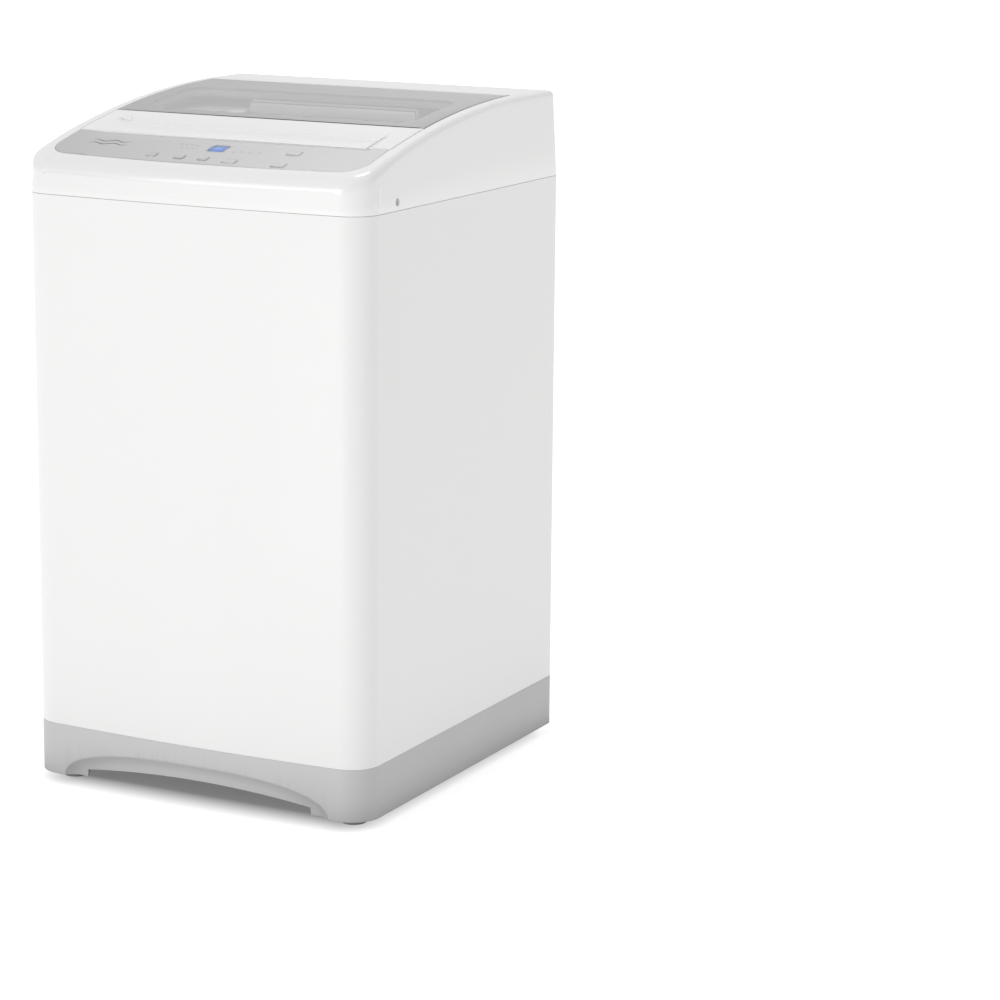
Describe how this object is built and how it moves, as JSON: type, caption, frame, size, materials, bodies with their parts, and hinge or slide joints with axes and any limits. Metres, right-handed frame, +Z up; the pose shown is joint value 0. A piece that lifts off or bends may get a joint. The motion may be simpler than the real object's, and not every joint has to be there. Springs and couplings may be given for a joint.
{
  "type": "portable top-loading washing machine",
  "caption": "Narrow top-loading washer with a curved top cover, hinged glass lid, sloping key panel, sprung tub, spin basket, pulsator and belt drive.",
  "frame": {"origin": "centre of the cabinet's plan at floor level, under the levelling feet", "axes": "+X to the right seen from the front, -Y towards the front, +Z up"},
  "size_m": [0.527, 0.562, 0.933],
  "materials": {
    "painted_steel": "gloss white enamel",
    "white_plastic": "satin gloss",
    "grey_plastic": "fine moulded grain",
    "panel_plastic": "silver grey satin",
    "display": "back-lit blue window",
    "circuit_board": "varnished",
    "glass": "clear, printed border",
    "tub_plastic": "moulded",
    "stainless": "brushed",
    "steel_parts": "plated",
    "cast_alloy": "die cast",
    "dark_plastic": "satin",
    "rubber": "matt",
    "hose": "corrugated",
    "hot_valve": "moulded",
    "cold_valve": "moulded",
    "filter": "mesh"
  },
  "bodies": {
    "cabinet": {"cabinet_shell": "painted_steel", "rear_panel": "painted_steel", "base_frame": "grey_plastic", "top_cover": "white_plastic", "control_panel": "panel_plastic", "display_window": "display", "control_board": "circuit_board", "dispenser_housing": "white_plastic", "hot_inlet_valve": "hot_valve", "cold_inlet_valve": "cold_valve", "water_level_sensor": "dark_plastic", "lid_switch": "dark_plastic", "power_cord": "dark_plastic", "drain_hose": "hose", "side_screw_left": "steel_parts", "side_screw_right": "steel_parts", "suspension_rod_front_left": "steel_parts", "suspension_rod_front_right": "steel_parts", "suspension_rod_rear_left": "steel_parts", "suspension_rod_rear_right": "steel_parts", "suspension_spring_front_left": "steel_parts", "suspension_spring_front_right": "steel_parts", "suspension_spring_rear_left": "steel_parts", "suspension_spring_rear_right": "steel_parts"},
    "lid": {"lid_frame": "white_plastic", "lid_trim": "panel_plastic", "lid_glass": "glass", "lid_hinge_pin_left": "steel_parts", "lid_hinge_pin_right": "steel_parts"},
    "drawer": {"dispenser_drawer": "white_plastic"},
    "tub": {"outer_tub": "tub_plastic", "tub_cover_ring": "tub_plastic", "shaft_seal": "rubber", "gearcase": "cast_alloy", "mounting_bracket": "steel_parts", "motor": "cast_alloy", "drive_belt": "rubber", "drain_pump": "dark_plastic", "sump_hose": "rubber"},
    "basket": {"wash_basket": "stainless", "basket_base": "tub_plastic", "balance_ring": "tub_plastic", "lint_filter": "filter", "spin_shaft": "steel_parts"},
    "agitator": {"pulsator": "tub_plastic", "pulsator_screw": "steel_parts", "drive_shaft": "steel_parts", "large_pulley": "cast_alloy"},
    "rotor": {"motor_shaft": "steel_parts", "motor_pulley": "cast_alloy"},
    "water_level_key_body": {"water_level_key": "panel_plastic"},
    "temperature_key_body": {"temperature_key": "panel_plastic"},
    "program_key_body": {"program_key": "panel_plastic"},
    "soil_key_body": {"soil_key": "panel_plastic"},
    "start_pause_key_body": {"start_pause_key": "panel_plastic"},
    "power_key_body": {"power_key": "panel_plastic"},
    "foot_front_left": {"levelling_foot_front_left": "dark_plastic"},
    "foot_front_right": {"levelling_foot_front_right": "dark_plastic"},
    "foot_rear_left": {"levelling_foot_rear_left": "dark_plastic"},
    "foot_rear_right": {"levelling_foot_rear_right": "dark_plastic"}
  },
  "joints": [
    {"name": "lid_swing", "type": "hinge", "parent": "cabinet", "child": "lid", "pos_m": [0, 0.17, 0.927], "axis": [-1, 0, 0], "range_deg": [0, 100]},
    {"name": "drawer_slide", "type": "slide", "parent": "cabinet", "child": "drawer", "axis": [0, -1, 0], "range_m": [0, 0.06]},
    {"name": "tub_bounce", "type": "slide", "parent": "cabinet", "child": "tub", "axis": [0, 0, -1], "range_m": [0, 0.02], "stiffness_N_per_m": 8000, "springref_m": -0.03, "deforming": ["suspension_spring_front_left", "suspension_spring_front_right", "suspension_spring_rear_left", "suspension_spring_rear_right"]},
    {"name": "basket_spin", "type": "hinge", "parent": "tub", "child": "basket", "pos_m": [0, -0.01, 0.5], "axis": [0, 0, 1], "continuous": true},
    {"name": "pulsator_spin", "type": "hinge", "parent": "tub", "child": "agitator", "pos_m": [0, -0.01, 0.36], "axis": [0, 0, 1], "continuous": true},
    {"name": "motor_spin", "type": "hinge", "parent": "tub", "child": "rotor", "pos_m": [-0.13, -0.01, 0.157], "axis": [0, 0, 1], "continuous": true},
    {"name": "water_level_key_press", "type": "slide", "parent": "cabinet", "child": "water_level_key_body", "axis": [0, 0.2708, -0.9626], "range_m": [0, 0.001], "stiffness_N_per_m": 1000, "springref_m": -0.0005},
    {"name": "temperature_key_press", "type": "slide", "parent": "cabinet", "child": "temperature_key_body", "axis": [0, 0.2708, -0.9626], "range_m": [0, 0.001], "stiffness_N_per_m": 1000, "springref_m": -0.0005},
    {"name": "program_key_press", "type": "slide", "parent": "cabinet", "child": "program_key_body", "axis": [0, 0.2708, -0.9626], "range_m": [0, 0.001], "stiffness_N_per_m": 1000, "springref_m": -0.0005},
    {"name": "soil_key_press", "type": "slide", "parent": "cabinet", "child": "soil_key_body", "axis": [0, 0.2708, -0.9626], "range_m": [0, 0.001], "stiffness_N_per_m": 1000, "springref_m": -0.0005},
    {"name": "start_pause_key_press", "type": "slide", "parent": "cabinet", "child": "start_pause_key_body", "axis": [0, 0.2708, -0.9626], "range_m": [0, 0.001], "stiffness_N_per_m": 1000, "springref_m": -0.0005},
    {"name": "power_key_press", "type": "slide", "parent": "cabinet", "child": "power_key_body", "axis": [0, 0.2708, -0.9626], "range_m": [0, 0.001], "stiffness_N_per_m": 1000, "springref_m": -0.0005},
    {"name": "foot_front_left_height", "type": "slide", "parent": "cabinet", "child": "foot_front_left", "axis": [0, 0, -1], "range_m": [0, 0.01]},
    {"name": "foot_front_right_height", "type": "slide", "parent": "cabinet", "child": "foot_front_right", "axis": [0, 0, -1], "range_m": [0, 0.01]},
    {"name": "foot_rear_left_height", "type": "slide", "parent": "cabinet", "child": "foot_rear_left", "axis": [0, 0, -1], "range_m": [0, 0.01]},
    {"name": "foot_rear_right_height", "type": "slide", "parent": "cabinet", "child": "foot_rear_right", "axis": [0, 0, -1], "range_m": [0, 0.01]}
  ],
  "couplings": [
    {"joint": "motor_spin", "follows": "pulsator_spin", "ratio": 3.6}
  ]
}
